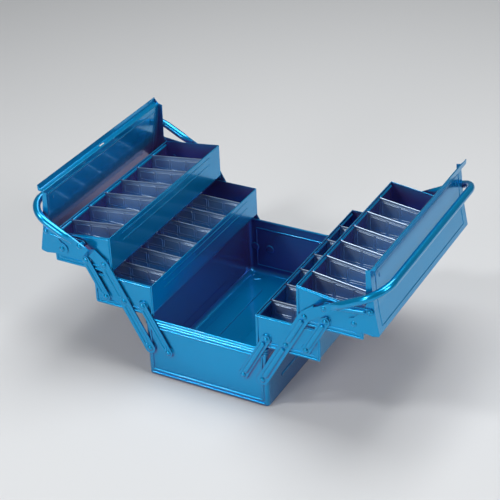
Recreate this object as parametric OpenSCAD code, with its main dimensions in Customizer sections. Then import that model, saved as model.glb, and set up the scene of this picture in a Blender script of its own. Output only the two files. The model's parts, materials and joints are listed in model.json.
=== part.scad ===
// Portable steel tool box: two hinged lids over four cantilever trays, shown opened out flat.
// X runs across the box, Y runs along it (front end at -Y), Z is up, millimetres.
// The origin is the middle of the base's underside.

/* [Base] */
// Width of the base across the two sides
base_w = 220; // [190:1:260]
// Length of the base and of everything that stands on it
base_l = 352; // [280:1:450]
// Height of the base
base_h = 110.5; // [95:0.5:140]
// Outside radius of the base's upright corners
base_corner_r = 4.5; // [3:0.5:8]
// Thickness of the base's sheet steel
base_sheet = 1.2; // [0.8:0.1:1.6]
// How far the two beads round the rim stand out
rim_bead = 0.9; // [0.4:0.1:1.2]
// Height of one rim bead
rim_bead_h = 3; // [2:0.5:4]
// Height of the plain edge over the upper rim bead
rim_edge = 1; // [0.5:0.1:3]
// Gap between the two rim beads
rim_bead_gap = 2; // [1:0.5:5]
// Distance of the end panels' border line from the base's sides
base_border_in = 11; // [6:0.5:20]
// Height of that border line over the ground
base_border_low = 14; // [8:0.5:24]
// Depth of that border line under the rim
base_border_top = 16; // [12:0.5:24]
// Distance of the long ribs' tips from the base's ends
rib_in = 45; // [20:1:80]
// Number of long ribs pressed into the floor
floor_ribs = 3; // [1:1:5]
// Width of one floor rib
floor_rib_w = 30; // [16:1:40]
// Height of one floor rib
floor_rib_h = 1.5; // [0.5:0.1:3]

/* [Trays] */
// Height of the lower trays
lower_h = 57; // [48:0.5:70]
// Height of the upper trays at their inner wall
upper_h = 67; // [58:0.5:80]
// Fall of the upper trays' rim from the inner to the outer wall
rim_fall = 14; // [4:0.5:20]
// Thickness of the trays' sheet steel
tray_sheet = 1; // [0.8:0.1:1.4]
// Radius of the trays' lower long edges
tray_corner_r = 9; // [4:0.5:12]
// Thickness of the trays' end plates
end_sheet = 1.2; // [0.8:0.1:1.6]
// Radius of the end plates' lower corners
end_corner_r = 3; // [1:0.5:6]
// Distance of the pressed border line from an end plate's edge
border_in = 5; // [3:0.5:9]
// Width of the pressed border line
border_w = 2.4; // [1:0.2:4]
// Depth of the first pressed line on a tray's wall under the rim
line_drop = 9; // [6:0.5:14]
// Distance from the first to the second pressed line
line_step = 13; // [8:0.5:18]
// Height of the pressed lines
emboss = 0.5; // [0.2:0.1:0.8]

/* [Dividers] */
// Number of dividers in each tray
divider_count = 6; // [2:1:9]
// Thickness of a divider
divider_t = 0.8; // [0.5:0.1:1.2]
// Thickness of the folded hem along a divider's top
hem_t = 2.2; // [1.4:0.1:3]
// Height of the folded hem
hem_h = 4; // [2:0.5:8]
// How far a divider's top lies under the tray's rim
divider_drop = 4; // [1:0.5:9]
// Radius of the half-round rails that hold the dividers
rail_r = 2.6; // [1.5:0.1:4]
// Depth of the rails' middle under the tray's rim
rail_drop = 7; // [4:0.5:12]

/* [Mechanism] */
// Depth of the lowest pivots under the base's rim
pivot_drop = 56.5; // [45:0.5:70]
// Distance of the long arms' lowest pivots from the base's side
pivot_in = 7.5; // [6:0.5:14]
// Height of every tray pivot over its tray's underside
tray_pivot_h = 17; // [14:0.5:24]
// Distance of the upper trays' first pivots from the middle plane when the box is shut
top_pivot_x = 15.5; // [13:0.5:22]
// Distance between the two pivots of one link pair
link_gap = 34; // [28:0.5:40]
// Angle of the arms over the horizontal when the box is open
open_angle = 61.5; // [56:0.5:68]
// Width of a long arm
arm_w = 19; // [14:0.5:22]
// Width of a short link
link_w = 15; // [12:0.5:18]
// Width of a lid link, whose upper end comes close to the middle plane when the box is shut
lid_link_w = 11.5; // [10:0.5:12]
// Thickness of the arms and links
arm_t = 2; // [1.5:0.1:2.5]
// Angle by which an arm turns outwards over the upper tray
arm_bend = 22.6; // [15:0.1:30]
// Length of an arm from the upper tray's pivot to the lid link's pivot
arm_neck = 46.9; // [40:0.1:55]
// Place of an arm's outward step along its neck
step_at = 28; // [24:0.5:32]
// Length of an arm from the lid link's pivot to the handle
arm_tail = 36; // [30:0.5:44]
// Depth of the arm's tongue inside the handle tube
tongue_l = 14; // [8:1:24]
// Radius of the rivets' shanks
rivet_r = 2.5; // [2:0.1:3]
// Radius of the rivets' round heads
head_r = 4.8; // [3.8:0.1:5.5]
// Height of the rivets' round heads
head_h = 2.5; // [1.5:0.1:3]
// Radius of the raised seats under the links
seat_r = 8.5; // [6.5:0.5:10]

/* [Handle] */
// Outside diameter of the handle tube
tube_d = 13; // [10:0.5:14]
// Wall of the handle tube
tube_wall = 1.2; // [0.8:0.1:1.6]
// Distance from the end of the tube's leg to the middle of the grip
handle_reach = 70; // [56:0.5:90]
// Radius of the handle's two bends
bend_r = 40; // [28:1:50]
// Angle by which a leg leans outwards when the box is shut
leg_lean = 0.5; // [0.5:0.5:4]
// Distance of the tube's middle from the end plates
tube_out = 12.5; // [11:0.1:14]

/* [Lids] */
// Thickness of the lids' sheet steel
lid_sheet = 1; // [0.8:0.1:1.4]
// Angle through which a lid turns on its tray
lid_swing = 72.5; // [68:0.5:76]
// Distance of the lid's pivot from the tray's outer wall
lid_pivot_in = 15; // [12:0.5:20]
// Height of the lid's pivot over the line of the tray's pivots
lid_pivot_up = 8.5; // [5:0.5:14]
// Distance from the lid's pivot to the link's rivet
crank = 38.5; // [32:0.5:44]
// Angle of that rivet round the lid's pivot when the box is shut
crank_angle = 119; // [110:0.5:126]
// Height of the roof over the tray's inner wall at the ridge
ridge_up = 12; // [9:0.5:18]
// Height of the roof over the tray's outer wall at the eave
eave_up = 8.5; // [6:0.5:14]
// How far the eave stands out over the tray's outer wall
eave_out = 8; // [5:0.5:12]
// Height of the upright step beside the ridge
ridge_step = 8.5; // [5:0.5:12]
// Width of the flange on top of the step
flange_w = 9; // [6:0.5:12]
// Rise of the flange to its tip
flange_rise = 3; // [1:0.5:4]
// Distance of the roof's slight bend from the middle plane
bend_x = 74; // [50:1:90]
// Depth of that bend under a straight roof
bend_dip = 2.5; // [0:0.5:4]
// Depth of the lip that hangs from the eave
lip_h = 12; // [6:0.5:16]
// Depth of the gable plates under the roof
gable_d = 7; // [5:0.5:9]
// Radius of the gable plates round the lid's pivot
lobe_r = 11; // [8:0.5:13]
// Length of the padlock slot in the step
slot_l = 16; // [8:1:24]
// Height of the padlock slot
slot_h = 5; // [3:0.5:6]

/* [Clearances] */
// Half of the gap between the left and right halves when the box is shut
half_gap = 0.8; // [0.5:0.1:1.5]
// Gap between one storey and the next when the box is shut
rest_gap = 0.4; // [0.3:0.1:1]
// Radial play of a rivet in the piece that turns on it
play = 0.1; // [0.05:0.01:0.1]
// Radial play of the lid rivets in the lid links, which takes up the linkage's error
link_play = 1.3; // [1.3:0.1:1.6]
// How much shorter the lid links are than the distance they bridge with the box open
link_short = 0.9; // [0.6:0.1:1]
// Play of a divider in its slots and between the walls
divider_play = 0.3; // [0.1:0.1:0.6]
// Gap between flat pieces that turn past each other
turn_gap = 0.3; // [0.3:0.1:0.6]

/* [Hidden] */
$fn = 48;

left = -1;
right = 1;
end_y = base_l / 2;
tiny = 0.01;
past = 5;

// Storeys of the shut box, from the ground up
lower_shut_z = base_h + rest_gap;
upper_shut_z = lower_shut_z + lower_h + rest_gap;
tray_w = base_w / 2 - half_gap;
upper_h_out = upper_h - rim_fall;

// Lowest pivots, and the arm that reaches from there to the upper tray's pivot
pivot_x = base_w / 2 - pivot_in;
pivot_z = base_h - pivot_drop;
shut_rise = upper_shut_z + tray_pivot_h - pivot_z;
shut_angle = atan2(shut_rise, top_pivot_x - pivot_x);
swing = shut_angle - open_angle;
arm_upper = (upper_shut_z - lower_shut_z) / sin(shut_angle);
arm_lower = shut_rise / sin(shut_angle) - arm_upper;

function along(p, angle, d) = [p[0] + d * cos(angle), p[1] + d * sin(angle)];

// Pivots of the right-hand front end as [x, z] with the box open
base_pivot = [pivot_x, pivot_z];
base_link_pivot = [pivot_x - link_gap, pivot_z];
lower_pivot = along(base_pivot, open_angle, arm_lower);
lower_link_pivot = lower_pivot - [link_gap, 0];
lower_out_pivot = lower_pivot + [link_gap, 0];
upper_pivot = along(lower_pivot, open_angle, arm_upper);
upper_out_pivot = upper_pivot + [link_gap, 0];

// Trays: the inner lower corner of each, with the box open
lower_wall_in = pivot_x + arm_lower * cos(shut_angle) - half_gap;
upper_wall_in = top_pivot_x - half_gap;
lower_x = lower_pivot[0] - lower_wall_in;
lower_z = lower_pivot[1] - tray_pivot_h;
upper_x = upper_pivot[0] - upper_wall_in;
upper_z = upper_pivot[1] - tray_pivot_h;

// The arm's neck and tail, the lid's pivot and its rivet
neck_angle = open_angle - arm_bend;
neck_end = along(upper_pivot, neck_angle, arm_neck);
neck_shut_x = base_pivot[0] + norm(neck_end - base_pivot)
    * cos(atan2(neck_end[1] - base_pivot[1], neck_end[0] - base_pivot[0]) + swing);
tail_angle = 90 - swing - asin((half_gap + tube_d / 2 - neck_shut_x) / arm_tail);
tail_end = along(neck_end, tail_angle, arm_tail);
leg_angle = 90 - swing - leg_lean;
lid_pivot = [upper_x + tray_w - lid_pivot_in, upper_pivot[1] + lid_pivot_up];
lid_rivet = along(lid_pivot, crank_angle - lid_swing, crank);
lid_link_v = lid_rivet - neck_end;
lid_link_end = lid_rivet - lid_link_v * (link_short / norm(lid_link_v));

// The lid's profile when shut, as [x from the middle plane, z over the tray's underside]
ridge_x = half_gap + flange_w;
eave_x = half_gap + tray_w + eave_out;
ridge_z = upper_h + ridge_up;
eave_z = upper_h_out + eave_up;
bend_share = (bend_x - ridge_x) / (eave_x - ridge_x);
bend_z = ridge_z + (eave_z - ridge_z) * bend_share - bend_dip;
flange_tip = [half_gap + lid_sheet / 2, ridge_z + ridge_step + flange_rise];
roof_line = [
    flange_tip,
    [ridge_x, ridge_z + ridge_step],
    [ridge_x - 1, ridge_z],
    [bend_x, bend_z],
    [eave_x, eave_z],
    [eave_x - 1, eave_z - lip_h],
];
shut_pivot = [half_gap + tray_w - lid_pivot_in, tray_pivot_h + lid_pivot_up];

// Layers outwards from the end plates
gable_gap = 0.5;
gable_t = 1.1;
arm_out = gable_gap + gable_t + 0.4;
seat_t = arm_out - turn_gap;
link_out = arm_out + 0.2;
top_out = tube_out - arm_t / 2;
rib_w = 7.5;
rib_h = 1.6;
rib_gap = 2.4;
groove_d = 0.8;
back_head_t = 0.9;

blue = "steelblue";
zinc = "lightgrey";

// ---------------------------------------------------------------- helpers

module side(s) { mirror([s < 0 ? 1 : 0, 0, 0]) children(); }

// Draws on the front end plates' plane: 2-D x is across, 2-D y is up, height is outwards
module front() { translate([0, -end_y, 0]) rotate([90, 0, 0]) children(); }
module back() { mirror([0, 1, 0]) front() children(); }
module both_ends() { front() children(); back() children(); }

module at(p) { translate([p[0], p[1], 0]) children(); }

module plate(t_from, t_to) { translate([0, 0, t_from]) linear_extrude(t_to - t_from) children(); }

// A strip with round ends from p to q
module strip(p, q, w) {
    d = q - p;
    translate(p) rotate(atan2(d[1], d[0])) translate([0, -w / 2]) square([norm(d), w]);
    translate(p) circle(d = w);
    translate(q) circle(d = w);
}

module path_strip(points, w) {
    for (i = [1 : len(points) - 1]) strip(points[i - 1], points[i], w);
}

// A strip between two rivets that stops short of their heads
module rib_strip(p, q) {
    d = q - p;
    u = d / norm(d);
    short = head_r + rib_w / 2 + rib_gap;
    strip(p + u * short, q - u * short, rib_w);
}

module round_rect(w, l, r) {
    for (x = [-1, 1], y = [-1, 1]) translate([x * (w / 2 - r), y * (l / 2 - r)]) circle(r);
    square([w - 2 * r, l], center = true);
    square([w, l - 2 * r], center = true);
}

// A tray's end view, inner wall at x = 0, with round lower corners
module tray_face(w, h_in, h_out, r) {
    polygon([[0, r], [r, 0], [w - r, 0], [w, r], [w, h_out], [0, h_in]]);
    translate([r, r]) circle(r);
    translate([w - r, r]) circle(r);
}

module tray_hollow(w, h_in, h_out, r, wall) {
    slope = (h_in - h_out) / w;
    translate([wall, wall])
        tray_face(w - 2 * wall, h_in + past - slope * wall, h_out + past + slope * wall, r - wall);
}

// A low pressed line round a tray's end plate
module border_line(w, h_in, h_out) {
    slope = (h_in - h_out) / w;
    module ring(d)
        translate([d, d])
            tray_face(w - 2 * d, h_in - 2 * d - slope * d, h_out - 2 * d + slope * d, end_corner_r);
    difference() { ring(border_in); ring(border_in + border_w); }
}

// A rivet: round head outside, and unless back_r is 0 a flat head behind the plate it is fixed in
module rivet(from, to, back_r = head_r) {
    r = (head_r * head_r + head_h * head_h) / (2 * head_h);
    translate([0, 0, from]) cylinder(r = rivet_r, h = to - from);
    if (back_r > 0) translate([0, 0, from - back_head_t]) cylinder(r = back_r, h = back_head_t);
    translate([0, 0, to]) intersection() {
        translate([0, 0, head_h - r]) sphere(r);
        cylinder(r = head_r, h = head_h);
    }
}

// ---------------------------------------------------------------- base

module base_ring(grow) {
    difference() {
        round_rect(base_w + 2 * grow, base_l + 2 * grow, base_corner_r + grow);
        round_rect(base_w - 2 * base_sheet, base_l - 2 * base_sheet, base_corner_r - base_sheet);
    }
}

// The base's walls with the two beads under the rim
module base_walls() {
    linear_extrude(base_h) base_ring(0);
    for (i = [0, 1]) translate([0, 0, base_h - rim_edge - rim_bead_h - i * (rim_bead_h + rim_bead_gap)])
        linear_extrude(rim_bead_h) base_ring(rim_bead);
}

module end_zone() {
    for (s = [-1, 1]) translate([-base_w, s > 0 ? end_y - base_corner_r : -end_y - past, -past])
        cube([2 * base_w, base_corner_r + past, base_h + 2 * past]);
}

module base_body() color(blue) {
    rib_l = base_l - 2 * rib_in;
    rib_pitch = (base_w - 2 * base_sheet) / floor_ribs;
    difference() { base_walls(); end_zone(); }
    linear_extrude(base_sheet)
        round_rect(base_w - 2 * base_sheet, base_l - 2 * base_sheet, base_corner_r - base_sheet);
    for (i = [0 : floor_ribs - 1]) translate([(i - (floor_ribs - 1) / 2) * rib_pitch, 0, base_sheet])
        linear_extrude(floor_rib_h)
            strip([0, -rib_l / 2], [0, rib_l / 2], floor_rib_w);
    // long ribs pressed out of the side walls
    for (s = [left, right], z = [0.3, 0.6] * base_h) translate([s * base_w / 2, 0, z])
        rotate([0, 90, 0]) linear_extrude(2 * emboss, center = true)
            strip([0, -rib_l / 2], [0, rib_l / 2], rib_w);
}

module base_border() {
    w = base_w - 2 * base_border_in;
    h = base_h - base_border_low - base_border_top;
    outer_r = 4;
    inner_r = 2.5;
    translate([0, base_border_low + h / 2]) difference() {
        round_rect(w, h, outer_r);
        round_rect(w - 2 * border_w, h - 2 * border_w, inner_r);
    }
}

module base_ends() color(blue) {
    difference() {
        intersection() { base_walls(); end_zone(); }
        for (s = [left, right]) side(s) both_ends() for (p = [base_pivot, base_link_pivot])
            at(p) translate([0, 0, -past]) cylinder(r = rivet_r, h = 2 * past);
    }
    both_ends() plate(-tiny, emboss) base_border();
    for (s = [left, right]) side(s) both_ends() for (p = [base_pivot, base_link_pivot])
        at(p) plate(-tiny, seat_t) difference() { circle(seat_r); circle(rivet_r); }
}

// The outer rivets' back heads are small, because the base's corner bends away close beside them
module base_rivets() color(blue)
    for (s = [left, right]) side(s) both_ends() {
        at(base_pivot) rivet(-base_sheet, arm_out + arm_t + turn_gap, pivot_in - base_corner_r);
        at(base_link_pivot) rivet(-base_sheet, arm_out + arm_t + turn_gap);
    }

// ---------------------------------------------------------------- trays

// The folded sheet of a tray: floor and two long walls, with two pressed lines on each wall
module tray_shell(h_in, h_out) {
    line_l = base_l * 0.8;
    translate([0, end_y - end_sheet, 0]) rotate([90, 0, 0]) linear_extrude(base_l - 2 * end_sheet)
        difference() {
            tray_face(tray_w, h_in, h_out, tray_corner_r);
            tray_hollow(tray_w, h_in, h_out, tray_corner_r, tray_sheet);
        }
    for (d = [line_drop, line_drop + line_step]) {
        translate([0, 0, h_in - d]) line_bar(line_l);
        translate([tray_w, 0, h_out - d]) line_bar(line_l);
    }
}

module line_bar(l) { cube([emboss, l, border_w], center = true); }

// The two end plates of a tray; holes lists the rivets' places from the inner lower corner
module tray_ends(h_in, h_out, holes) {
    both_ends() {
        difference() {
            plate(-end_sheet, 0) tray_face(tray_w, h_in, h_out, end_corner_r);
            for (p = holes) at(p) translate([0, 0, -past]) cylinder(r = rivet_r, h = 2 * past);
        }
        difference() {
            plate(-tiny, emboss) border_line(tray_w, h_in, h_out);
            for (p = holes) at(p) translate([0, 0, -past]) cylinder(r = rivet_r, h = 2 * past);
        }
    }
}

// Raised round seats on an end plate
module seats(holes, t) {
    both_ends() for (p = holes) at(p) plate(-tiny, t)
        difference() { circle(seat_r); circle(rivet_r); }
}

module tray_rivets(holes, to) { both_ends() for (p = holes) at(p) rivet(-end_sheet, to); }

cell_l = (base_l - 2 * end_sheet) / (divider_count + 1);
module at_dividers() {
    for (i = [1 : divider_count]) translate([0, -base_l / 2 + end_sheet + i * cell_l, 0]) children();
}

// Half-round rails along both walls, broken at each divider
module rails(h_in, h_out) {
    gap = hem_t + 2 * divider_play;
    for (i = [0 : divider_count]) {
        y0 = -base_l / 2 + end_sheet + i * cell_l + (i == 0 ? 0 : gap / 2);
        y1 = -base_l / 2 + end_sheet + (i + 1) * cell_l - (i == divider_count ? 0 : gap / 2);
        translate([tray_sheet, y0, h_in - rail_drop]) half_bar(y1 - y0);
        translate([tray_w - tray_sheet, y0, h_out - rail_drop]) mirror([1, 0, 0]) half_bar(y1 - y0);
    }
}

module half_bar(l) {
    translate([0, l, 0]) rotate([90, 0, 0]) linear_extrude(l) intersection() {
        circle(rail_r);
        translate([0, -rail_r]) square([rail_r, 2 * rail_r]);
    }
}

// A divider: a thin plate with cut lower corners and a folded hem along its top
module divider(h_in, h_out) {
    w = tray_w - 2 * tray_sheet - 2 * divider_play;
    c = tray_corner_r;
    top_in = h_in - divider_drop;
    top_out_z = h_out - divider_drop;
    low = tray_sheet;
    module face(cut) polygon([
        [0, cut > 0 ? top_in - cut : low + c], [0, top_in], [w, top_out_z],
        [w, cut > 0 ? top_out_z - cut : low + c], if (cut == 0) [w - c, low], if (cut == 0) [c, low],
    ]);
    module slab(t, cut)
        translate([tray_sheet + divider_play, t / 2, 0]) rotate([90, 0, 0])
            linear_extrude(t) face(cut);
    slab(divider_t, 0);
    slab(hem_t, hem_h);
}

lower_holes = [
    [lower_wall_in - link_gap, tray_pivot_h], [lower_wall_in, tray_pivot_h],
    [lower_wall_in + link_gap, tray_pivot_h],
];
upper_holes = [[upper_wall_in, tray_pivot_h], [upper_wall_in + link_gap, tray_pivot_h]];
lid_hole = [[tray_w - lid_pivot_in, tray_pivot_h + lid_pivot_up]];

module at_lower(s) { side(s) translate([lower_x, 0, lower_z]) children(); }
module at_upper(s) { side(s) translate([upper_x, 0, upper_z]) children(); }

module lower_tray(s) color(blue) at_lower(s) tray_shell(lower_h, lower_h);
module lower_tray_ends(s) color(blue) at_lower(s) {
    tray_ends(lower_h, lower_h, lower_holes);
    seats(lower_holes, seat_t);
}
module lower_rails(s) color(blue) at_lower(s) rails(lower_h, lower_h);
module lower_dividers(s) color(zinc) at_lower(s) at_dividers() divider(lower_h, lower_h);
module lower_rivets(s) color(blue) at_lower(s)
    tray_rivets(lower_holes, arm_out + arm_t + turn_gap);

module upper_tray(s) color(blue) at_upper(s) tray_shell(upper_h, upper_h_out);
module upper_tray_ends(s) color(blue) at_upper(s) {
    tray_ends(upper_h, upper_h_out, concat(upper_holes, lid_hole));
    seats(upper_holes, seat_t);
}
module upper_rails(s) color(blue) at_upper(s) rails(upper_h, upper_h_out);
module upper_dividers(s) color(zinc) at_upper(s) at_dividers() divider(upper_h, upper_h_out);
module upper_rivets(s) color(blue) at_upper(s) {
    tray_rivets(upper_holes, arm_out + arm_t + turn_gap);
    tray_rivets(lid_hole, gable_gap + gable_t + turn_gap);
}

// ---------------------------------------------------------------- lids

// Turns a shut lid's end view, drawn from the middle plane and the tray's underside, to open
module lid_open() {
    translate(lid_pivot) rotate(-lid_swing) translate(-shut_pivot) children();
}

module roof_face() { path_strip(roof_line, lid_sheet); }

module lid(s) color(blue) side(s) difference() {
    front() plate(-base_l - gable_gap - gable_t, gable_gap + gable_t) lid_open() roof_face();
    // the padlock slot through the step
    front() translate([0, 0, -base_l / 2]) lid_open_solid()
        translate([ridge_x, ridge_z + ridge_step / 2, 0])
            cube([2 * past, slot_h, slot_l], center = true);
}

module lid_open_solid() {
    translate([lid_pivot[0], lid_pivot[1], 0]) rotate([0, 0, -lid_swing])
        translate([-shut_pivot[0], -shut_pivot[1], 0]) children();
}

rivet_shut = along(shut_pivot, crank_angle, crank);

// A gable plate: a strip under the roof that widens round the link's rivet and the pivot
module gable_face() {
    inner_ridge = [ridge_x - 1, ridge_z - gable_d];
    knee = rivet_shut - [gable_d, gable_d * 0.7];
    lobe_in = shut_pivot - [lobe_r, 0] * 0.96 + [0, lobe_r * 0.28];
    lobe_low = shut_pivot + [lobe_r * 0.62, -lobe_r * 0.785];
    difference() {
        union() {
            polygon([
                roof_line[2], roof_line[3], roof_line[4], roof_line[5],
                lobe_low, shut_pivot, lobe_in, knee, inner_ridge,
            ]);
            translate(shut_pivot) circle(lobe_r);
        }
        path_strip(roof_line, lid_sheet);
        translate(shut_pivot) circle(rivet_r + play);
        translate(rivet_shut) circle(rivet_r);
    }
}

module lid_gables(s) color(blue) side(s) both_ends()
    plate(gable_gap, gable_gap + gable_t) lid_open() gable_face();

// These rivets are flush behind, because the gables lie close to the trays' end plates
module lid_rivets(s) color(blue) side(s) both_ends()
    at(lid_rivet) rivet(gable_gap, link_out + arm_t + turn_gap, 0);

// ---------------------------------------------------------------- arms and links

// What lies past the middle plane once the box is shut, on the open arm
module past_middle() {
    translate(base_pivot) rotate(-swing) translate(-base_pivot)
        translate([half_gap - base_w / 2, base_h]) square([base_w / 2, 2 * base_w]);
}

module neck_frame() { translate(upper_pivot) rotate(neck_angle) children(); }

module arm_low_face() {
    strip(base_pivot, upper_pivot, arm_w);
    neck_frame() translate([0, -arm_w / 2]) square([step_at + arm_t, arm_w]);
}

module arm_top_face() {
    neck_frame() translate([step_at, -arm_w / 2]) square([arm_neck - step_at, arm_w]);
    translate(neck_end) circle(d = arm_w);
    translate(neck_end) rotate(tail_angle) translate([0, -tube_d / 2]) square([arm_tail, tube_d]);
    translate(neck_end) rotate(tail_angle) translate([0, -arm_w / 2]) square([arm_tail / 2, arm_w]);
}

module tongue_face() {
    w = tube_d - 2 * tube_wall - 0.6;
    translate(tail_end) rotate(leg_angle) translate([-1, -w / 2]) square([tongue_l + 1, w]);
}

module arm_holes() {
    for (p = [base_pivot, lower_pivot, upper_pivot]) translate(p) circle(rivet_r + play);
    translate(neck_end) circle(rivet_r);
}

// raised is true where the pressed ribs face outwards, false where they face the box
module ribs(raised, t_face, pairs) {
    if (raised) for (p = pairs) plate(t_face - tiny, t_face + rib_h) rib_strip(p[0], p[1]);
}
module grooves(raised, t_face, pairs) {
    if (!raised) for (p = pairs) plate(t_face - groove_d, t_face + 1) rib_strip(p[0], p[1]);
}

module arm(raised) {
    pairs = [[base_pivot, lower_pivot], [lower_pivot, upper_pivot]];
    difference() {
        union() {
            plate(arm_out, arm_out + arm_t) difference() { arm_low_face(); arm_holes(); }
            plate(top_out, top_out + arm_t) difference() {
                union() { arm_top_face(); tongue_face(); }
                arm_holes();
                past_middle();
            }
            // the step that carries the arm out over the lid link
            plate(arm_out, top_out + arm_t) difference() {
                neck_frame() translate([step_at, -arm_w / 2]) square([arm_t, arm_w]);
                past_middle();
            }
            ribs(raised, arm_out + arm_t, pairs);
        }
        grooves(raised, arm_out + arm_t, pairs);
    }
}

module link(p, q, w, t, hole_p, hole_q, raised) {
    difference() {
        union() {
            plate(t, t + arm_t) strip(p, q, w);
            ribs(raised, t + arm_t, [[p, q]]);
        }
        plate(t - 1, t + arm_t + 1) {
            translate(p) circle(rivet_r + hole_p);
            translate(q) circle(rivet_r + hole_q);
        }
        grooves(raised, t + arm_t, [[p, q]]);
    }
}

// The stampings of one diagonal pair of corners show their ribs, the other pair the hollows
function shows_ribs(s, f) = (s > 0) == f;

module end_of(f) { if (f) front() children(); else back() children(); }

module long_arm(s, f) color(blue) side(s) end_of(f) arm(shows_ribs(s, f));
module base_link(s, f) color(blue) side(s) end_of(f)
    link(base_link_pivot, lower_link_pivot, link_w, arm_out, play, play, shows_ribs(s, f));
module upper_link(s, f) color(blue) side(s) end_of(f)
    link(lower_out_pivot, upper_out_pivot, link_w, arm_out, play, play, shows_ribs(s, f));
module lid_link(s, f) color(blue) side(s) end_of(f)
    link(neck_end, lid_link_end, lid_link_w, link_out, play, link_play, shows_ribs(s, f));

spacer_from = link_out + arm_t + turn_gap;

module spacers(s) color(blue) side(s) both_ends() at(neck_end)
    plate(spacer_from, top_out) difference() { circle(head_r); circle(rivet_r); }

module arm_rivets(s) color(blue) side(s) both_ends() at(neck_end)
    rivet(link_out - 0.1, top_out + arm_t);

// ---------------------------------------------------------------- handle

module handle(s) color(blue) side(s) both_ends()
    translate([tail_end[0], tail_end[1], tube_out]) rotate([0, 0, leg_angle]) {
        leg = handle_reach - bend_r;
        half_grip = end_y + tube_out - bend_r;
        rotate([0, 90, 0]) tube(leg);
        translate([leg, 0, -bend_r]) rotate([90, 0, 0]) rotate_extrude(angle = 90)
            translate([bend_r, 0]) tube_face();
        translate([handle_reach, 0, -bend_r - half_grip]) tube(half_grip);
    }

module tube_face() {
    difference() { circle(d = tube_d); circle(d = tube_d - 2 * tube_wall); }
}

module tube(l) { linear_extrude(l) tube_face(); }

// ---------------------------------------------------------------- drawing

base_body();
base_ends();
base_rivets();
lower_tray(left);  // lower_tray_left
lower_tray_ends(left);  // lower_tray_ends_left
lower_rails(left);  // lower_rails_left
lower_dividers(left);  // lower_dividers_left
lower_rivets(left);  // lower_rivets_left
upper_tray(left);  // upper_tray_left
upper_tray_ends(left);  // upper_tray_ends_left
upper_rails(left);  // upper_rails_left
upper_dividers(left);  // upper_dividers_left
upper_rivets(left);  // upper_rivets_left
lid(left);  // lid_left
lid_gables(left);  // lid_gables_left
lid_rivets(left);  // lid_rivets_left
long_arm(left, true);  // arm_front_left
long_arm(left, false);  // arm_back_left
handle(left);  // handle_left
arm_rivets(left);  // arm_rivets_left
spacers(left);  // spacers_left
base_link(left, true);  // base_link_front_left
base_link(left, false);  // base_link_back_left
upper_link(left, true);  // upper_link_front_left
upper_link(left, false);  // upper_link_back_left
lid_link(left, true);  // lid_link_front_left
lid_link(left, false);  // lid_link_back_left
lower_tray(right);  // lower_tray_right
lower_tray_ends(right);  // lower_tray_ends_right
lower_rails(right);  // lower_rails_right
lower_dividers(right);  // lower_dividers_right
lower_rivets(right);  // lower_rivets_right
upper_tray(right);  // upper_tray_right
upper_tray_ends(right);  // upper_tray_ends_right
upper_rails(right);  // upper_rails_right
upper_dividers(right);  // upper_dividers_right
upper_rivets(right);  // upper_rivets_right
lid(right);  // lid_right
lid_gables(right);  // lid_gables_right
lid_rivets(right);  // lid_rivets_right
long_arm(right, true);  // arm_front_right
long_arm(right, false);  // arm_back_right
handle(right);  // handle_right
arm_rivets(right);  // arm_rivets_right
spacers(right);  // spacers_right
base_link(right, true);  // base_link_front_right
base_link(right, false);  // base_link_back_right
upper_link(right, true);  // upper_link_front_right
upper_link(right, false);  // upper_link_back_right
lid_link(right, true);  // lid_link_front_right
lid_link(right, false);  // lid_link_back_right
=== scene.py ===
# %% [markdown]
# # Dressing a cantilever tool box
# The box stands open: a base, two lower and two upper trays with dividers, two lids, and the arms,
# links and tube handles that fold them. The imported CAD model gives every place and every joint.
# This script builds the visible skin of each part on top of it, in the same frame, in metres.

# %% Load the frame
import json
import math

import bmesh
import bpy
from mathutils import Matrix, Vector


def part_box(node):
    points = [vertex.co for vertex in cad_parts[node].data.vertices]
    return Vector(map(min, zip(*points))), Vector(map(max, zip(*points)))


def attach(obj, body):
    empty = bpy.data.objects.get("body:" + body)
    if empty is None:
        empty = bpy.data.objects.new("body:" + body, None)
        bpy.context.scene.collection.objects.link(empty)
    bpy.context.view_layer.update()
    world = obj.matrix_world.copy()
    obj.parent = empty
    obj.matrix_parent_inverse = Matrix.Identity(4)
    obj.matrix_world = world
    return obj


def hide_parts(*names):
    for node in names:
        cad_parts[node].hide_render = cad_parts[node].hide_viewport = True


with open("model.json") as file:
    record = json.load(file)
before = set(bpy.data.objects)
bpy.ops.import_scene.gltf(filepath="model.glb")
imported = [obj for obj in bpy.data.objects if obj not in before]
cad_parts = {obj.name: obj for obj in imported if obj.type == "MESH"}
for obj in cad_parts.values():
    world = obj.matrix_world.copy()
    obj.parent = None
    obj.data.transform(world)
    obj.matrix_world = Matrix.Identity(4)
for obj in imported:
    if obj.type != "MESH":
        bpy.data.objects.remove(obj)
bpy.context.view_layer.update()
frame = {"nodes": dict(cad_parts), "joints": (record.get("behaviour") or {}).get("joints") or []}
pivots = {j["name"]: Vector(j["pos_m"]) * 1000 for j in frame["joints"]}

# %% [markdown]
# ## Sizes
# Lengths are written in millimetres, as a sheet-metal worker would, and turned into metres where a
# mesh is made. Pivots come from the joints, so the skin can't drift away from the mechanism. Every
# end view is drawn as x across and z up, and t is the distance outwards from the end plates.

# %% Named sizes
MM = 0.001
END = 176.0  # the end plates' outer faces, from the middle of the box
BASE_W, BASE_L = 220.0, 352.0
TRAY_W, LOWER_H, UPPER_H, RIM_FALL = 109.2, 57.0, 67.0, 14.0
PLATE_T = 1.2  # thickness of the base's sheet and of every tray's end plate
LINK_GAP = 34.0  # between two pivots side by side on one plate
LID_RIVET_ANGLE, LID_RIVET_REACH, LID_SWING = 46.5, 38.5, 72.5
# Levels outwards: the backs of an arm, of its stepped end and of a lid link; and their thickness
ARM_OUT, TOP_OUT, LINK_OUT, ARM_T = 2.0, 11.5, 2.2, 2.0


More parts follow.
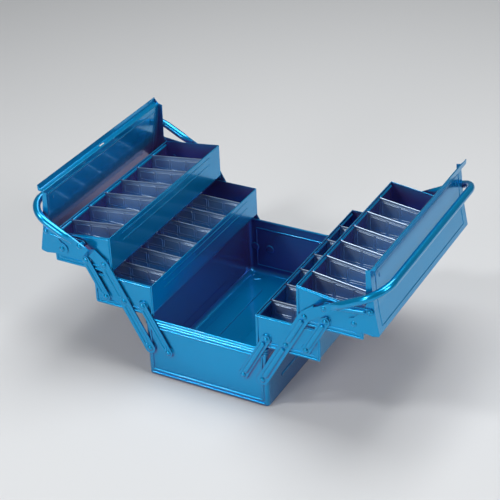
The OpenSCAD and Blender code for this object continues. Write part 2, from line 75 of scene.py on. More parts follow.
def place(name):
    """The right-hand joint's place in the end view, as x and z."""
    p = pivots[name + "_right"]
    return Vector((p.x, p.z))


def low_corner(node):
    """The lower left corner of a CAD node's box in the end view."""
    low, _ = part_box(node)
    return Vector((low.x, low.z)) * 1000


def turned(degrees, length):
    """A step of that length in the end view, at an angle over the horizontal."""
    return Vector((math.cos(math.radians(degrees)), math.sin(math.radians(degrees)))) * length


base_pivot, base_link_pivot = place("fold"), place("base_link_pivot")
lower_pivot, upper_pivot = place("lower_pivot"), place("upper_pivot")
lid_pivot, neck_end = place("lid_hinge"), place("lid_link_pivot")
sideways = Vector((LINK_GAP, 0))
lower_link_pivot, lower_out_pivot = lower_pivot - sideways, lower_pivot + sideways
upper_out_pivot = upper_pivot + sideways
lid_rivet = lid_pivot + turned(LID_RIVET_ANGLE, LID_RIVET_REACH)
lower_corner, upper_corner = low_corner("lower_tray_ends_right"), low_corner("upper_tray_ends_right")
print("pivots", base_pivot, lower_pivot, upper_pivot, "corners", lower_corner, upper_corner)

# %% [markdown]
# ## Modelling helpers
# Everything on this box is sheet, tube or rivet, so a few moves come back again and again. Each helper
# wraps a few operators. An operator acts on whatever is selected, so every helper deselects first and
# then picks faces by their place or their normal, which stays right when a size changes.

# %% Selecting
def only(*pieces):
    """Selects these pieces and nothing else."""
    bpy.ops.object.select_all(action="DESELECT")
    for piece in pieces:
        piece.select_set(True)
    bpy.context.view_layer.objects.active = pieces[0]


def pick(piece, test, kind="FACE"):
    """In edit mode, selects the faces, edges or points for which test(place in mm, item) is true."""
    bpy.ops.mesh.select_mode(type=kind)
    bpy.ops.mesh.select_all(action="DESELECT")
    mesh = bmesh.from_edit_mesh(piece.data)
    items = {"FACE": mesh.faces, "EDGE": mesh.edges, "VERT": mesh.verts}[kind]
    for item in items:
        if kind == "FACE":
            where = item.calc_center_median()
        elif kind == "EDGE":
            where = (item.verts[0].co + item.verts[1].co) / 2
        else:
            where = item.co
        item.select_set(bool(test(where / MM, item)))
    mesh.select_flush_mode()
    bmesh.update_edit_mesh(piece.data)


def edit(piece, action="DESELECT"):
    """Opens one piece in edit mode, with nothing in it selected, or everything."""
    only(piece)
    bpy.ops.object.mode_set(mode="EDIT")
    bpy.ops.mesh.select_all(action=action)


def leave():
    """Goes back to object mode."""
    bpy.ops.object.mode_set(mode="OBJECT")


def outwards(piece):
    """Points all faces outwards."""
    edit(piece, "SELECT")
    bpy.ops.mesh.normals_make_consistent(inside=False)
    leave()


print("selecting ready")

# %% [markdown]
# A real sheet has no sharp edge: it is rolled, folded or worn. A bevel on all edges above a certain
# angle gives each piece its thin bright line of light, which a smooth shading alone wouldn't. A
# modifier is applied at once, so that the next step works on the real faces.

# %% Adding and finishing
ON_END = (math.radians(90), 0, 0)  # lays a new primitive's axis along Y, square to the end plates


def settled():
    """The primitive just added, with its place and turn moved into its mesh."""
    bpy.ops.object.transform_apply(location=True, rotation=True, scale=True)
    return bpy.context.object


def applied(piece, modifier):
    """Makes a modifier's result the piece's own mesh."""
    only(piece)
    bpy.ops.object.modifier_apply(modifier=modifier.name)


def smooth(piece, angle=40):
    """Shades a piece smooth but for the edges that are sharper than the angle."""
    only(piece)
    bpy.ops.object.shade_smooth_by_angle(angle=math.radians(angle))


def soften(piece, width=0.35, segments=2, angle=35):
    """Rounds the edges that are sharper than the angle and shades the rest smooth."""
    bevel = piece.modifiers.new("bevel", "BEVEL")
    bevel.width, bevel.segments = width * MM, segments
    bevel.limit_method, bevel.angle_limit = "ANGLE", math.radians(angle)
    applied(piece, bevel)
    smooth(piece)
    return piece


def carve(piece, tool):
    """Cuts a tool's shape out of a piece and throws the tool away."""
    cut = piece.modifiers.new("cut", "BOOLEAN")
    cut.operation, cut.object, cut.solver = "DIFFERENCE", tool, "EXACT"
    applied(piece, cut)
    bpy.data.objects.remove(tool)


print("finishing ready")

# %% [markdown]
# Sheet metal is drawn as an outline first. An outline is a list of corners with radii, as on a
# workshop drawing; it becomes a flat face, and an extrusion gives the face its thickness. Most
# pieces lie on the front end or run from end to end, so two helpers do nearly all of them.

# %% Outlines and plates
def rounded(corners, steps=6):
    """An outline of points from corners given as (x, z, radius)."""
    out = []
    for i, (x, z, r) in enumerate(corners):
        here = Vector((x, z))
        before, after = Vector(corners[i - 1][:2]), Vector(corners[(i + 1) % len(corners)][:2])
        if r <= 0:
            out.append(here)
            continue
        a, b = (before - here).normalized(), (after - here).normalized()
        half = a.angle(b) / 2
        reach = r / math.tan(half)
        centre = here + (a + b).normalized() * (r / math.sin(half))
        start, stop = here + a * reach - centre, here + b * reach - centre
        sweep = start.angle_signed(stop)
        for k in range(steps + 1):
            turn = -sweep * k / steps
            c, s = math.cos(turn), math.sin(turn)
            out.append(centre + Vector((c * start.x - s * start.y, s * start.x + c * start.y)))
    return out


def sheet_face(name, points):
    """A flat face whose corners are pulled to these places, in mm."""
    bpy.ops.object.select_all(action="DESELECT")
    bpy.ops.mesh.primitive_circle_add(vertices=len(points), fill_type="NGON", radius=0.01)
    piece = bpy.context.object
    piece.name = piece.data.name = name
    for point, target in zip(piece.data.vertices, points):
        point.co = Vector(target) * MM
    return piece


def thicken(piece, step):
    """Pushes a flat face out into a solid by a step in mm."""
    edit(piece, "SELECT")
    bpy.ops.mesh.extrude_region_move(TRANSFORM_OT_translate={"value": [s * MM for s in step]})
    leave()
    outwards(piece)


def plate(name, outline, t0, t1, edge=0.35):
    """A plate on the front end, from t0 to t1 outwards, with rounded edges."""
    piece = sheet_face(name, [(p[0], -END - t0, p[1]) for p in outline])
    thicken(piece, (0, -(t1 - t0), 0))
    return soften(piece, edge) if edge else piece


def pulled_out(name, outline, half_length):
    """A bar with this end view, from one end of the box to the other."""
    bar = sheet_face(name, [(p[0], -half_length, p[1]) for p in outline])
    thicken(bar, (0, 2 * half_length, 0))
    smooth(bar, 35)
    return bar


print("outlines and plates ready")

# %% [markdown]
# The box is the same to the left and the right, and at both ends. So a piece is modelled once on the
# right front corner and mirrored by a negative scale. That turns its faces inside out, and they are
# pointed outwards again at once.

# %% Joining and copying
def join(*pieces):
    """Joins pieces into the first one."""
    only(*pieces)
    bpy.ops.object.join()
    return bpy.context.object


def copied(piece, name, shift=(0, 0, 0), mirror=(1, 1, 1)):
    """A copy with its own mesh, mirrored about the middle planes and shifted, in mm."""
    only(piece)
    bpy.ops.object.duplicate(linked=False)
    twin = bpy.context.object
    twin.name = twin.data.name = name
    twin.scale = mirror
    twin.location = Vector(shift) * MM
    bpy.ops.object.transform_apply(location=True, rotation=False, scale=True)
    if mirror[0] * mirror[1] * mirror[2] < 0:
        outwards(twin)
    return twin


print("joins and copies ready")

# %% [markdown]
# ## Camera
# The camera was fitted to corners of the box that were measured in its photograph. It looks down from
# the right of the front end through a long lens, and leans a little to one side. Its three axes are
# worked out from its heading, its dip and its lean, because that keeps each of them a single number.

# %% Camera
HEADING, DIP, LEAN = -0.514, 0.540, -0.045  # in radians
CAMERA_AT = (0.9953, -1.7823, 1.3896)
FOCAL_PIXELS, PICTURE_PIXELS, SENSOR = 1454.6, 500, 36
FAR_AWAY = 30
flat = math.cos(DIP)
ahead = Vector((math.sin(HEADING) * flat, math.cos(HEADING) * flat, -math.sin(DIP)))
across = Vector((math.cos(HEADING), -math.sin(HEADING), 0))
above = across.cross(ahead)
right = across * math.cos(LEAN) + above * math.sin(LEAN)
up = above * math.cos(LEAN) - across * math.sin(LEAN)
bpy.ops.object.camera_add(location=CAMERA_AT)
camera = bpy.context.object
camera.rotation_euler = Matrix((right, up, -ahead)).transposed().to_euler()
camera.data.sensor_width, camera.data.lens = SENSOR, FOCAL_PIXELS / PICTURE_PIXELS * SENSOR
camera.data.clip_end = FAR_AWAY
bpy.context.scene.camera = camera
print("camera", camera.location, "lens", camera.data.lens)

# %% [markdown]
# ## Shader sums
# A finish is a small net of nodes, and wiring it by hand takes four lines for each sum. One small
# class lets a socket be written in a Python sum instead, so `noise * 0.2 + 0.4` or `1 - mask` adds
# its Math nodes by itself. A Finish starts a material and adds any other node.

# %% Socket arithmetic
class Value:
    """An output socket that can be used in Python sums."""

    def __init__(self, finish, socket):
        self.finish, self.socket = finish, socket

    def sum(self, operation, a, b):
        return self.finish.node("ShaderNodeMath", {"operation": operation}, {0: a, 1: b})

    def __add__(self, other): return self.sum("ADD", self, other)
    def __radd__(self, other): return self.sum("ADD", other, self)
    def __sub__(self, other): return self.sum("SUBTRACT", self, other)
    def __rsub__(self, other): return self.sum("SUBTRACT", other, self)
    def __mul__(self, other): return self.sum("MULTIPLY", self, other)
    def __rmul__(self, other): return self.sum("MULTIPLY", other, self)


class Finish:
    """A material under construction."""

    def __init__(self, name):
        self.material = bpy.data.materials.new(name)
        self.material.use_nodes = True
        self.nodes, self.links = self.material.node_tree.nodes, self.material.node_tree.links
        self.shader = self.nodes["Principled BSDF"]

    def feed(self, socket, value):
        """Links a socket to a value, or sets its constant."""
        if isinstance(value, Value):
            self.links.new(value.socket, socket)
        else:
            socket.default_value = value

    def node(self, kind, settings=None, sockets=None, output=0):
        """Adds a node, sets it up, feeds its sockets and gives back one output."""
        made = self.nodes.new(kind)
        for key, value in (settings or {}).items():
            setattr(made, key, value)
        for key, value in (sockets or {}).items():
            self.feed(made.inputs[key], value)
        return Value(self, made.outputs[output])

    def noise(self, scale, detail, stretch=(1, 1, 1)):
        """Cloudy noise fixed to the piece, drawn out along an axis by a stretch below 1."""
        where = self.node("ShaderNodeTexCoord", output="Object")
        if stretch != (1, 1, 1):
            where = self.node("ShaderNodeMapping", None, {"Vector": where, "Scale": stretch})
        return self.node("ShaderNodeTexNoise", None, {"Vector": where, "Scale": scale, "Detail": detail})

    def mix(self, factor, a, b):
        """Colour a where the factor is 0 and b where it is 1."""
        return self.node("ShaderNodeMix", {"data_type": "RGBA"}, {0: factor, 6: a, 7: b}, output=2)

    def open_sky(self, distance):
        """How open the surroundings are within a distance in metres, from 0, shut in, to 1."""
        return self.node("ShaderNodeAmbientOcclusion", {"samples": 16}, {"Distance": distance}, 1)

    def facing_up(self):
        """1 on a level face that looks up, 0 on an upright one, below 0 on one that looks down."""
        normal = self.node("ShaderNodeTexCoord", output="Normal")
        return self.node("ShaderNodeSeparateXYZ", None, {"Vector": normal}, output=2)

    def clamped(self, value):
        """The value held between 0 and 1."""
        return self.node("ShaderNodeClamp", None, {"Value": value})

    def bump(self, height, strength, distance):
        """A normal that follows this height, with its distance in metres."""
        return self.node("ShaderNodeBump", None,
                         {"Strength": strength, "Distance": distance, "Height": height})

    def set(self, **sockets):
        """Feeds the surface's own sockets and gives back the material."""
        for key, value in sockets.items():
            self.feed(self.shader.inputs[key.replace("_", " ")], value)
        return self.material


print("shader helper ready")

# %% [markdown]
# ## Blue enamel
# The sheet is dipped and stove-enamelled in a glossy mid blue with a little metal flake. Close up
# such a coat is not flat: it has a slow ripple that bends reflections, and its gloss and its depth of
# colour drift a little from place to place. Inside the boxes light and shade are painted into the
# colour: a dark indigo of painted shade on the upright walls, and a brighter, richer blue of painted
# light on the level floors. An Ambient Occlusion node finds the shut-in places by looking a forearm's
# length around, and the normal's upward part tells floors from walls. The fade between them is steep,
# so that open faces beside the box keep their plain colour.

# %% Enamel
# How far the Ambient Occlusion looks, and where and how steeply the painted shade and light take over.
LOOK_AROUND, SHUT_IN, STEEPNESS = 0.3, 0.27, 4.0


def enamel(name, deep, light, painted_wall_shade, painted_floor_light):
    finish = Finish(name)
    drift = finish.noise(14, 3)
    gloss = finish.noise(20, 3)
    # Shut-in places lose the plain paint and get painted shade on walls and painted light on floors.
    open_part = finish.clamped((finish.open_sky(LOOK_AROUND) - SHUT_IN) * STEEPNESS)
    painted_shade_and_light = finish.mix(finish.clamped(finish.facing_up()), painted_wall_shade, painted_floor_light)
    paint = finish.mix(open_part, painted_shade_and_light, finish.mix(drift, deep, light))
    wave = finish.bump(finish.noise(16, 1), 0.05, 0.001)
    return finish.set(Base_Color=paint, Roughness=gloss * 0.05 + 0.22, Normal=wave, IOR=1.2,
                      Metallic=0.65, Coat_Weight=0.75, Coat_Roughness=0.06, Coat_IOR=1.4)


# The last two colours are painted shade for the inner walls and painted light for the floors inside.
blue = enamel("blue_enamel", deep=(0.0, 0.290, 0.610, 1), light=(0.0, 0.335, 0.690, 1),
              painted_wall_shade=(0.110, 0.080, 0.270, 1), painted_floor_light=(0.0, 0.400, 0.950, 1))
print("made", blue.name)

# %% [markdown]
# ## Zinc-plated dividers
# The dividers are cut from plated sheet and are left unpainted. Plated steel is a soft grey metal
# with faint rolling lines along the strip and a cloudy spangle. Noise drawn out along X makes the
# lines, and plain noise the clouds. Both sit on Object coordinates, so they cost no unwrapping.

# %% Zinc
def plated(name):
    finish = Finish(name)
    cloud = finish.noise(60, 4)
    lines = finish.noise(120, 3, stretch=(0.15, 1, 6))
    colour = finish.mix(cloud, (0.32, 0.43, 0.58, 1), (0.46, 0.58, 0.73, 1))
    return finish.set(Base_Color=colour, Metallic=0.7, Roughness=lines * 0.12 + 0.26,
                      Normal=finish.bump(lines, 0.04, 0.0001))


zinc = plated("zinc_sheet")
for name, node in frame["nodes"].items():
    node.data.materials.clear()
    node.data.materials.append(zinc if "dividers" in name else blue)
print("made", zinc.name, "and painted", len(frame["nodes"]), "nodes")

# %% [markdown]
# ## Floor
# The box stands on a sheet of pale studio paper. One wide plane is enough, with a matt finish and no
# pattern, because only the soft shadows on it matter. It lies half a millimetre under the feet, so
# that two faces never share a place.

# %% Floor
FLOOR_SIZE, FLOOR_GAP = 12, 0.0005
bpy.ops.mesh.primitive_plane_add(size=FLOOR_SIZE, location=(0, 0, -FLOOR_GAP))
floor = bpy.context.object
floor.name = "floor"
floor.data.materials.append(Finish("studio_paper").set(Base_Color=(0.66, 0.67, 0.68, 1), Roughness=0.9))
print("floor laid")

# %% [markdown]
# ## Light
# A glossy coat shows its lamps, so they are wide squares, as soft boxes in a studio are. The key lamp
# and a low lamp light the end plates from the front left, two lamps above light the floors of the
# trays, and one on the right opens up the shadow that falls there. A faint even sky fills the rest.

# %% Lamps
AIM = Vector((0, 0, 0.1))
LAMPS = (  # name, place, size in metres, watts
    ("key_lamp", (-1.15, -1.5, 2.0), 0.4, 19),
    ("low_front_lamp", (-0.5, -2.3, 0.9), 0.7, 13.5),
    ("top_lamp", (0.0, 0.3, 2.4), 1.2, 28),
    ("back_lamp", (0.0, 1.3, 2.2), 0.8, 11),
    ("right_lamp", (2.0, -0.4, 1.8), 1.0, 24),
)
for name, spot, size, watts in LAMPS:
    bpy.ops.object.light_add(type="AREA", location=spot)
    lamp = bpy.context.object
    lamp.name = name
    lamp.data.shape, lamp.data.size, lamp.data.energy = "SQUARE", size, watts
    lamp.rotation_euler = (AIM - Vector(spot)).to_track_quat("-Z", "Y").to_euler()
world = bpy.data.worlds.new("studio")
bpy.context.scene.world = world
world.use_nodes = True
sky = world.node_tree.nodes["Background"].inputs
sky["Color"].default_value, sky["Strength"].default_value = (0.80, 0.84, 0.88, 1), 0.12
bpy.context.scene.view_settings.view_transform = "Standard"
print("lamps set", len(LAMPS))

# %% [markdown]
# ## Dressing a piece
# Each finished piece gets its finish, rides on its CAD body, and says which CAD nodes it stands for,
# so those are hidden here and stay in the physics. Smooth shading blends the normal of a wide flat
# face into the narrow rounded edge beside it, and a glossy sheet then looks dented. A Weighted Normal
# modifier lets the larger face decide, so sheets stay flat and only their edges turn.

# %% Dress
def dress(piece, body, *nodes, finish=None, slot="enamel"):
    """Gives a finished piece its normals, its finish and its body, and hides the CAD nodes it stands for.
    """
    weighted = piece.modifiers.new("weighted", "WEIGHTED_NORMAL")
    weighted.keep_sharp = True
    applied(piece, weighted)
    piece.data.materials.clear()
    piece.data.materials.append(finish or blue)
    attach(piece, body)
    if nodes:
        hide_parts(*nodes)


def erase(*pieces):
    """Deletes patterns once their copies are dressed."""
    only(*pieces)
    bpy.ops.object.delete()


SIDES, BOTH_ENDS = (("right", 1), ("left", -1)), (1, -1)


def dress_sides(pattern, name, body, node, ends=(1,), **look):
    """Copies a pattern of the right half to both halves, or to both ends of each, and dresses them."""
    for side, sign in SIDES:
        twins = [copied(pattern, f"{name}_{side}", mirror=(sign, end, 1)) for end in ends]
        piece = join(*twins) if len(twins) > 1 else twins[0]
        dress(piece, f"{body}_{side}", f"{node}_{side}", **look)
    erase(pattern)


print("ready to dress")

# %% [markdown]
# ## Rivets
# Every pivot is a cold rivet with a round head about 10 mm wide. A ball is cut by a plane, so only
# its cap is left, and the cut rim is drawn down to make the shank that reaches the sheet. One rivet
# is modelled for each kind of joint, and each other one is a copy with its own mesh.

# %% One rivet
HEAD_R, HEAD_H, SHANK_R = 4.8, 2.5, 2.5
TAIL_R, TAIL_H = 4.4, 0.9


def round_rivet(from_t, to_t, back=True):
    """A rivet on the front end, at the origin of the end view, between two levels."""
    bpy.ops.object.select_all(action="DESELECT")
    ball = (HEAD_R ** 2 + HEAD_H ** 2) / (2 * HEAD_H)
    bpy.ops.mesh.primitive_uv_sphere_add(segments=28, ring_count=36, radius=ball * MM, rotation=ON_END,
                                         location=(0, (-END - to_t - HEAD_H + ball) * MM, 0))
    head = settled()
    edit(head, "SELECT")
    bpy.ops.mesh.bisect(plane_co=(0, (-END - to_t) * MM, 0), plane_no=(0, 1, 0),
                        use_fill=True, clear_outer=True)
    pick(head, lambda at, face: face.normal.y > 0.99 and len(face.verts) > 10)
    bpy.ops.mesh.inset(thickness=(HEAD_R - SHANK_R) * MM)
    bpy.ops.mesh.extrude_region_move(TRANSFORM_OT_translate={"value": (0, (to_t - from_t) * MM, 0)})
    leave()
    soften(head, 0.25, 2, 50)
    if back:
        bpy.ops.object.select_all(action="DESELECT")
        bpy.ops.mesh.primitive_cylinder_add(vertices=24, radius=TAIL_R * MM, depth=TAIL_H * MM,
                                            location=(0, (-END - from_t + TAIL_H / 2) * MM, 0),
                                            rotation=ON_END)
        head = join(head, soften(settled(), 0.3))
    return head


def rivets(name, body, spots, from_t, to_t, *nodes, back=True):
    """Copies of one rivet at these places of the end view, on both ends; one piece for each side."""
    pattern = round_rivet(from_t, to_t, back)
    made = {}
    for side, sign in SIDES:
        each = [copied(pattern, "rivet", (sign * spot.x, 0, spot.y), (1, end, 1))
                for spot in spots for end in BOTH_ENDS]
        made[side] = join(*each)
        made[side].name = made[side].data.name = f"{name}_{side}"
        dress(made[side], body.format(side), *[node.format(side) for node in nodes])
    erase(pattern)
    print(name, len(spots) * 4, "rivets")
    return made


# %% [markdown]
# Each rivet runs from the inside of its plate to the outside of what turns on it. The levels are
# distances outwards from the end plates, so one number on each side places a whole row of them.

# %% All rivets
HEAD_T, HINGE_T = 4.3, 1.9  # under the heads on the arms and links, and on the lids' hinges
GABLE_IN, GABLE_OUT, LINK_FACE = 0.5, 1.6, 4.5  # a lid gable's two faces, and a lid link's outer one
made = rivets("base_pivot_rivets", "base", [base_pivot, base_link_pivot], -PLATE_T, HEAD_T)
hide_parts("base_rivets")
rivets("lower_tray_pivots", "lower_storey_{}", [lower_link_pivot, lower_pivot, lower_out_pivot],
       -PLATE_T, HEAD_T, "lower_rivets_{}")
rivets("upper_tray_pivots", "upper_storey_{}", [upper_pivot, upper_out_pivot],
       -PLATE_T, HEAD_T, "upper_rivets_{}")
rivets("lid_hinge_rivets", "upper_storey_{}", [lid_pivot], -PLATE_T, HINGE_T)
rivets("lid_link_rivets", "lid_half_{}", [lid_rivet], GABLE_IN, LINK_FACE, "lid_rivets_{}", back=False)
rivets("arm_top_rivets", "arms_{}", [neck_end], LINK_OUT, TOP_OUT + ARM_T, "arm_rivets_{}", back=False)

# %% [markdown]
# ## Pressed lines
# Beads, ribs and border lines are pressed into every sheet to stiffen it. A straight one is a ball
# pulled apart along its middle, which gives round ends for nothing, then flattened on the sheet. A
# line that runs round a panel is made by insetting a face again and again and lifting the middle
# ring. Both are closed shapes that sink a little into the sheet they stiffen.

# %% A straight bead
def bead(start, end, width, height, normal, segments=16, rings=8):
    """A half-round bar with round ends on a surface, from start to end, in mm."""
    start, end, normal = Vector(start), Vector(end), Vector(normal).normalized()
    run = end - start
    along = run.normalized()
    bpy.ops.object.select_all(action="DESELECT")
    bpy.ops.mesh.primitive_uv_sphere_add(segments=segments, ring_count=rings, radius=MM)
    bar = bpy.context.object
    edit(bar)
    pick(bar, lambda at, vert: at.x > 0.02, "VERT")
    bpy.ops.transform.translate(value=((run.length / (width / 2) - 2) * MM, 0, 0))
    leave()
    first = start + along * width / 2
    turn = Matrix((along, normal.cross(along), normal)).transposed().to_4x4()
    size = Matrix.Diagonal((width / 2, width / 2, height, 1))
    bar.matrix_world = Matrix.Translation(first * MM) @ turn @ size
    bpy.ops.object.shade_smooth()
    return settled()


def rib(p, q, width, height, level):
    """A bead on the front end's plane, at a level outwards."""
    return bead((p.x, -END - level, p.y), (q.x, -END - level, q.y), width, height, (0, -1, 0))


print("bead ready")

# %% [markdown]
# The line round a panel goes up over its crown and down again in six insets. A curve with a round
# section could do it too, but its corners would pinch, while an inset keeps every corner's width.
# The seat under a rivet is a low cone with soft edges.

# %% A line round a panel, and a round seat
SUNK, PROUD = 0.3, 0.03  # how deep a pressed shape starts in its sheet, and how far its flat is clear
ARCH = ((0.12, 0.55), (0.18, 0.35), (0.2, 0.1))  # shares of a line's width and height to its crown


def ring_panel(outline, width, height, level, sink=SUNK):
    """A thin panel on the front end's plane whose rim is a rounded line."""
    panel = sheet_face("panel", [(p[0], -END - level + sink, p[1]) for p in outline])
    thicken(panel, (0, -(sink + PROUD), 0))
    edit(panel)
    pick(panel, lambda at, face: face.normal.y < -0.9)
    for share, lift in (*ARCH, *[(share, -lift) for share, lift in ARCH[::-1]]):
        bpy.ops.mesh.inset(thickness=width * share * MM, depth=height * lift * MM)
    leave()
    smooth(panel, 50)
    return panel


def boss(spot, foot, top, height, level=0.0):
    """A round seat pressed out of an end plate, wider at its foot."""
    bpy.ops.object.select_all(action="DESELECT")
    out = END + level + height / 2 - SUNK / 2
    bpy.ops.mesh.primitive_cone_add(vertices=48, radius1=foot * MM, radius2=top * MM,
                                    depth=(height + SUNK) * MM, rotation=ON_END,
                                    location=(spot.x * MM, -out * MM, spot.y * MM))
    return soften(settled(), 0.7, 3, 25)


RIVET_SEAT = (9.3, 7.9, 1.7)  # foot, top and height of the seat under a rivet
print("ring and boss ready")

# %% [markdown]
# ## Links
# A link is a strip with round ends and a half-round rib. On one diagonal pair of corners the ribs
# stand outwards; on the other pair the same stampings are turned over and show their hollows, so the
# rib's shape is cut out instead of added. Both kinds are made once and copied.

# %% Links
def stadium(p, q, width, steps=14):
    """The outline of a strip with round ends."""
    base = math.atan2((q - p).y, (q - p).x)
    points = []
    for centre, first in ((q, base - math.pi / 2), (p, base + math.pi / 2)):
        for k in range(steps + 1):
            a = first + math.pi * k / steps
            points.append(centre + Vector((math.cos(a), math.sin(a))) * width / 2)
    return points


RIB_H, RIB_LIFT = 2.5, 1.1  # a raised rib is a bead lifted off its plate, so that its sides are steep
HOLLOW_SHARE, HOLLOW_DEPTH = 0.8, 1.3


def pressed(piece, p, q, level, raised, width=8.4, gap=6.4):
    """Adds a rib to a plate between two rivets, or presses its hollow into the plate."""
    step = (q - p).normalized() * gap
    if raised:
        return join(piece, rib(p + step, q - step, width, RIB_H, level + RIB_LIFT))
    carve(piece, rib(p + step, q - step, width * HOLLOW_SHARE, HOLLOW_DEPTH, level))
    smooth(piece)
    return piece


CORNERS = (("front", "right", (1, 1, 1)), ("front", "left", (-1, 1, 1)),
           ("back", "right", (1, -1, 1)), ("back", "left", (-1, -1, 1)))


def corner_pieces(name, body, make):
    """Makes the raised and the hollow stamping once each and copies them to the four corners."""
    patterns = {raised: make(raised) for raised in (True, False)}
    for end, side, mirror in CORNERS:
        raised = (side == "right") == (end == "front")
        piece = copied(patterns[raised], f"{name}_pressed_{end}_{side}", mirror=mirror)
        dress(piece, body.format(side), f"{name}_{end}_{side}")
    erase(*patterns.values())
    print(name, "on four corners")


def link_maker(p, q, width, level):
    """A function that makes one link between two rivets, raised or hollow."""
    def make(raised):
        piece = plate("link_pattern", stadium(p, q, width), level, level + ARM_T, 0.5)
        return pressed(piece, p, q, level + ARM_T, raised)
    return make


LINK_W, LID_LINK_W = 15, 11.5
corner_pieces("base_link", "base_links_{}",
              link_maker(base_link_pivot, lower_link_pivot, LINK_W, ARM_OUT))
corner_pieces("upper_link", "upper_links_{}",
              link_maker(lower_out_pivot, upper_out_pivot, LINK_W, ARM_OUT))
corner_pieces("lid_link", "lid_links_{}", link_maker(neck_end, lid_rivet, LID_LINK_W, LINK_OUT))

# %% [markdown]
# ## Arms
# A long arm is one stamping: straight up to the upper tray's rivet, then bent outwards, stepped away
# from the box over the lid link, and drawn together where the handle tube grips it. Its outline is
# worked out from the pivots and the angles of its three legs, so the bends follow if a pivot moves.

# %% An arm's outline
ARM_ANGLE, NECK_ANGLE, SWING = 61.5, 38.9, 62.0286
ARM_W, TIP_W, TIP_REACH = 19.0, 12.0, 30
shut_way = turned(90 - SWING, 1)
neck_way = turned(NECK_ANGLE, 1)
handle_start = Vector((246.269, 238.143))
tip_way = (handle_start - neck_end).normalized()


def arm_outline():
    """The arm's outline: a round foot, a bend at the upper tray's rivet and a narrow tip."""
    ways = [turned(ARM_ANGLE, 1), neck_way, tip_way]
    sides = [Vector((-w.y, w.x)) for w in ways]
    half_bend = math.radians((ARM_ANGLE - NECK_ANGLE) / 2)
    bends = [(sides[0] + sides[1]).normalized() / math.cos(half_bend), (sides[1] + sides[2]).normalized()]
    half, tip, tip_side = ARM_W / 2, neck_end + tip_way * TIP_REACH, sides[2] * TIP_W / 2
    edges = [(upper_pivot - bends[0] * half, 16), (neck_end - bends[1] * half, 30), (tip - tip_side, 12),
             (tip + tip_side, 2), (neck_end + bends[1] * half, 30), (upper_pivot + bends[0] * half, 44)]
    strip = stadium(base_pivot, base_pivot + ways[0], ARM_W)
    foot = strip[len(strip) // 2:]
    corners = [(p.x, p.y, r) for p, r in edges]
    return rounded([*corners, (*foot[0], 0), (*foot[-1], 0)], 8)[:-2] + foot


print("outline of an arm", len(arm_outline()), "points")

# %% [markdown]
# The flat arm is then worked as at a press. Two cuts across the neck mark the step, everything past
# them is moved outwards, and a last cut takes off what would pass the middle of the shut box. Two
# plates joined by a slanted one would show seams, which cuts in one mesh don't.

# %% Arms
STEP_START, STEP_END, NEAR = 26.5, 32.0, 0.1  # the neck's outward step, from the upper tray's rivet
ARM_RIB = (9.4, 7.2)  # a rib's width and its distance from the rivets
MIDDLE_REACH = 6.6  # from the handle's axis to the middle of the shut box


def make_arm(raised):
    arm = plate("arm_pattern", arm_outline(), ARM_OUT, ARM_OUT + ARM_T, 0)
    edit(arm)
    for reach in (STEP_START, STEP_END):
        spot = upper_pivot + neck_way * reach
        bpy.ops.mesh.select_all(action="SELECT")
        bpy.ops.mesh.bisect(plane_co=(spot.x * MM, 0, spot.y * MM), plane_no=(neck_way.x, 0, neck_way.y))
    edge = upper_pivot + neck_way * (STEP_END - NEAR)
    pick(arm, lambda at, vert: (at.x - edge.x) * neck_way.x + (at.z - edge.y) * neck_way.y > 0, "VERT")
    bpy.ops.transform.translate(value=(0, -(TOP_OUT - ARM_OUT) * MM, 0))
    middle = handle_start + Vector((-shut_way.y, shut_way.x)) * MIDDLE_REACH
    bpy.ops.mesh.select_all(action="SELECT")
    bpy.ops.mesh.bisect(plane_co=(middle.x * MM, 0, middle.y * MM),
                        plane_no=(-shut_way.y, 0, shut_way.x), use_fill=True, clear_outer=True)
    leave()
    outwards(arm)
    soften(arm, 0.6, 3)
    for p, q in ((base_pivot, lower_pivot), (lower_pivot, upper_pivot)):
        arm = pressed(arm, p, q, ARM_OUT + ARM_T, raised, *ARM_RIB)
    return arm


corner_pieces("arm", "arms_{}", make_arm)

# %% [markdown]
# ## Handles
# The carrying handle is a 13 mm tube bent into a wide loop. Its ends are pressed flat over the arms,
# so each leg grows from a flat oval into a round tube. It is drawn as a pipe bender would make it:
# a ring is pushed out along the leg, resized as it goes, spun through each bend, and pushed on. The
# loop is made lying along X and then turned and moved to its place.

# %% Handles
REACH, BEND_R, TUBE_R, TUBE_OUT = 70.0, 40.0, 6.5, 12.5
GRIP_STEP, GRIP_END = 5.5, 1.0
GRIP = [(0.27, 0.95), (0.36, 0.97), (0.62, 0.99), (0.86, 1.0), (1.0, 1.0)]  # flat oval to round tube
LEG_ANGLE = 90 - SWING - 0.5


def push(step, resize=None):
    """Extrudes the selected ring by a step in mm, and resizes it about its own middle."""
    bpy.ops.mesh.extrude_edges_move(TRANSFORM_OT_translate={"value": Vector(step) * MM})
    if resize:
        bpy.ops.transform.resize(value=resize)


def bend(way):
    """Spins the selected ring through one of the loop's two bends."""
    y = END + TUBE_OUT
    bpy.ops.mesh.spin(steps=16, angle=-math.pi / 2, axis=(0, 0, 1),
                      center=((REACH - BEND_R) * MM, way * (y - BEND_R) * MM, 0))


